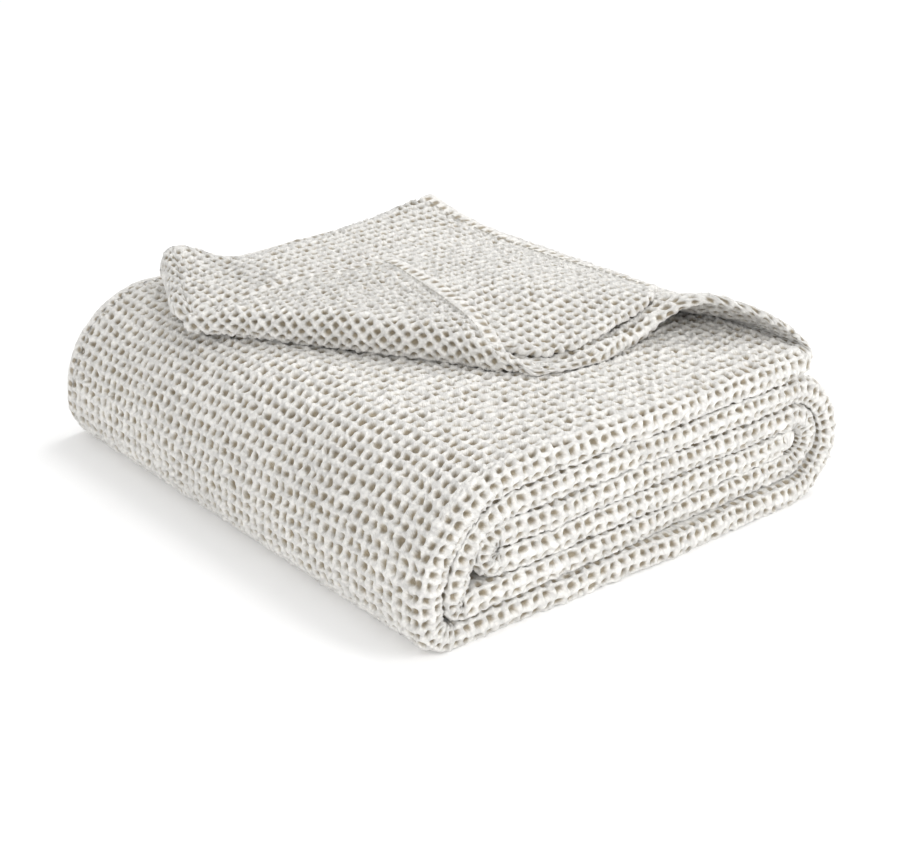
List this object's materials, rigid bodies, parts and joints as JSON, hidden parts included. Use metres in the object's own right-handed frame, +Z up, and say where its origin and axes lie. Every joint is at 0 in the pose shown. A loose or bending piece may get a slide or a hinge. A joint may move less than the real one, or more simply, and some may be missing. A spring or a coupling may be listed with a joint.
{
  "type": "folded throw blanket",
  "caption": "Waffle-weave cotton throw folded across its width and rolled flat into a soft stack, with a loose hemmed flap and a turned-back corner on top, to lie on a bed, sofa or shelf.",
  "frame": {"origin": "on the surface the throw lies on, under the middle of its box", "axes": "+X across the roll towards the fold that the flap hangs from, +Y along the roll's width towards the face with the free hems, +Z up"},
  "size_m": [0.272, 0.318, 0.104],
  "materials": {
    "waffle_cotton": "matt waffle weave, ivory ridges and taupe pits",
    "hem_cotton": "matt, flattened waffle weave turned in and stitched",
    "stitching_thread": "matt twisted thread"
  },
  "bodies": {
    "root": {"bottom_layer": "waffle_cotton", "lower_inner_layer": "waffle_cotton", "tongue_layer": "waffle_cotton", "upper_inner_layer": "waffle_cotton", "upper_outer_layer": "waffle_cotton", "top_layer": "waffle_cotton", "outer_right_fold": "waffle_cotton", "inner_right_fold": "waffle_cotton", "outer_left_fold": "waffle_cotton", "middle_left_fold": "waffle_cotton", "inner_left_fold": "waffle_cotton", "top_fold_nose": "waffle_cotton", "tongue_hem": "hem_cotton", "side_hems": "hem_cotton"},
    "top_flap": {"flap_arch": "waffle_cotton", "flap_lower_plies": "waffle_cotton", "flap_upper_ply": "waffle_cotton", "end_hem": "hem_cotton", "end_hem_stitching": "stitching_thread", "corner_fold": "waffle_cotton"},
    "turned_corner": {"turned_corner": "waffle_cotton", "corner_hems": "hem_cotton", "corner_hem_stitching": "stitching_thread"}
  },
  "joints": [
    {"name": "flap_lift", "type": "hinge", "parent": "root", "child": "top_flap", "pos_m": [0.112, 0, 0.083], "axis": [0, 1, 0], "range_deg": [0, 150]},
    {"name": "corner_unfold", "type": "hinge", "parent": "top_flap", "child": "turned_corner", "pos_m": [-0.04744, -0.08442, 0.0982], "axis": [0.4797, -0.8774, 0], "range_deg": [0, 150]}
  ]
}
